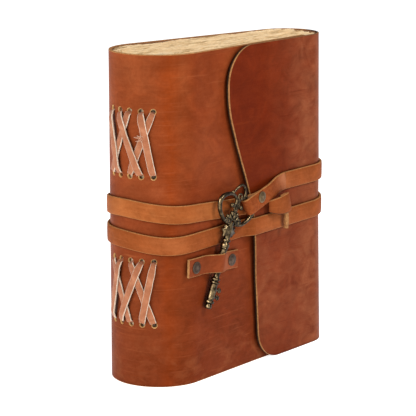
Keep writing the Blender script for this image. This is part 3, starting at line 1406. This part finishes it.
def key_bow_parts():
    """Two big scrolls with curled ends, a leafy crown, an eye and an open loop, a bit off the key's axis."""
    scroll = [(-3.2, 47.8, 0.95), (-5.6, 48.3, 1.0), (-8.4, 49.4, 1.1), (-12.0, 52.4, 1.2),
              (-13.8, 55.4, 1.3), (-14.1, 58.4, 1.3), (-12.3, 60.9, 1.25), (-8.8, 62.7, 1.1),
              (-5.9, 63.3, 1.0), (-3.0, 62.9, 0.9), (-0.9, 61.5, 0.8), (-0.2, 59.8, 0.75), (-0.9, 58.4, 0.7),
              (-2.4, 57.8, 0.7)]
    ornaments = [(-3.1, 57.5, 1.35), (-5.3, 64.4, 0.95), (-4.4, 48.4, 1.3), (-2.2, 48.6, 1.3)]
    stalk = [(-0.6, 58.0, 0.5), (-0.5, 56.0, 0.55), (0.3, 54.2, 0.6)]
    parts = []
    for side in (1, -1):
        parts.append(wire(mirrored(scroll, side), 14))
        parts += [ball((across, along), radius) for across, along, radius in mirrored(ornaments, side)]
        parts.append(wire(mirrored(stalk, side), 10))
    crown = [(-66, 5.2, 1.35), (-38, 4.6, 1.4), (0, 5.2, 1.5), (38, 4.8, 1.4), (66, 6.0, 1.35)]
    parts += [crown_leaf(lean, reach, size, (0.7, 1.45, 0.8)) for lean, reach, size in crown]
    for reach, stretch, leans in ((2.9, 1.0, (-84, -50, -17, 17, 50, 84)), (6.2, 1.7, (-54, -20, 20, 54))):
        parts += [crown_leaf(lean, reach, 0.95, (1, stretch, 1.2)) for lean in leans]
    parts.append(wire([(BOW_MIDDLE, 50.5, 0.9), (1.0, 54.2, 0.7), (0.9, 57.4, 0.65), (1.5, 61.6, 0.7)], 10))
    parts.append(ball((1.0, 55.2), 1.05))
    eye_turns = steps(0, 2 * pi, pi / 12)
    parts.append(tube([(1.8 + 1.55 * cos(turn), 63.2 + 1.55 * sin(turn), 0.58) for turn in eye_turns], 10))
    parts.append(wire([(-5.6, 63.6, 0.75), (-4.2, 65.0, 0.72), (-2.4, 67.2, 0.72), (-0.2, 69.2, 0.72),
                       (1.8, 69.7, 0.72), (4.1, 68.4, 0.74), (5.6, 66.2, 0.78), (5.7, 63.9, 0.78),
                       (4.4, 62.0, 0.75)]))
    return parts


def key():
    """The cast key, in one mesh of overlapping turned, bent and beaded parts."""
    verts, faces = [], []
    for part_verts, part_faces in key_stem_parts() + key_bit_parts() + key_bow_parts():
        first = len(verts)
        verts += [key_point(*vert) for vert in part_verts]
        faces += [[first + corner for corner in face] for face in part_faces]
    obj = add_object("key", verts, faces, [KEY_METAL], sharp=48)
    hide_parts("key")
    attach(obj, "key")


def paint_nodes():
    """Metal for the rivets, which keep their CAD shape."""
    finishes = {"keeper_rivet_heads": RIVET_METAL, "keeper_rivet_posts": RIVET_METAL,
                "strap_rivet_head": TAB_RIVET_METAL, "strap_rivet_post": TAB_RIVET_METAL}
    for name, material in finishes.items():
        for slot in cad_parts[name].material_slots:
            slot.material = material


# Stage


def soft_light(name, power, size, toward, distance):
    """A large square light that looks at the book from a direction."""
    lamp = bpy.data.lights.new(name, "AREA")
    lamp.energy = power
    lamp.size = size
    obj = show(name, lamp)
    direction = Vector(toward).normalized()
    obj.location = place(LIGHT_TARGET) + direction * distance
    obj.rotation_euler = direction.to_track_quat("Z", "Y").to_euler()


def stage():
    """Pale floor, white surroundings and soft light."""
    reach = 6.0
    mesh = bpy.data.meshes.new("floor")
    corners = [(-reach, -reach, 0), (reach, -reach, 0), (reach, reach, 0), (-reach, reach, 0)]
    mesh.from_pydata(corners, [], [(0, 1, 2, 3)])
    floor = show("floor", mesh)
    shader = Shader("pale_floor")
    shader.set(Base_Color=(0.93, 0.93, 0.93), Roughness=0.9, Specular_IOR_Level=0.0)
    shader.set(Emission_Color=(1, 1, 1), Emission_Strength=0.76)
    mesh.materials.append(shader.material)
    world = bpy.data.worlds.new("white_studio")
    world.use_nodes = True
    background = world.node_tree.nodes["Background"]
    background.inputs["Color"].default_value = (1, 1, 1, 1)
    background.inputs["Strength"].default_value = 0.38
    bpy.context.scene.world = world
    soft_light("key_light", 12, 0.3, (0.35, -1.0, 1.0), 1.5)
    soft_light("left_light", 14, 1.0, (-1.0, -0.1, 0.5), 1.5)
    bpy.context.scene.view_settings.view_transform = "Standard"


def camera():
    """The camera that took the photograph."""
    azimuth = radians(CAMERA_AZIMUTH)
    elevation = radians(CAMERA_ELEVATION)
    back = Vector((sin(azimuth) * cos(elevation), -cos(azimuth) * cos(elevation), sin(elevation)))
    lens = bpy.data.cameras.new("camera")
    lens.lens = CAMERA_LENS
    lens.sensor_width = SENSOR
    lens.clip_end = 20
    obj = show("camera", lens)
    obj.location = place(CAMERA_TARGET + back * CAMERA_DISTANCE)
    obj.rotation_euler = back.to_track_quat("Z", "Y").to_euler()
    bpy.context.scene.camera = obj


cover_front()
cover_back()
cover_flap()
for signature in range(SIGNATURES):
    signature_leaves(signature)
lacing("upper")
lacing("lower")
lace_fray()
strap()
strap_knot()
keeper()
key()
paint_nodes()
stage()
camera()
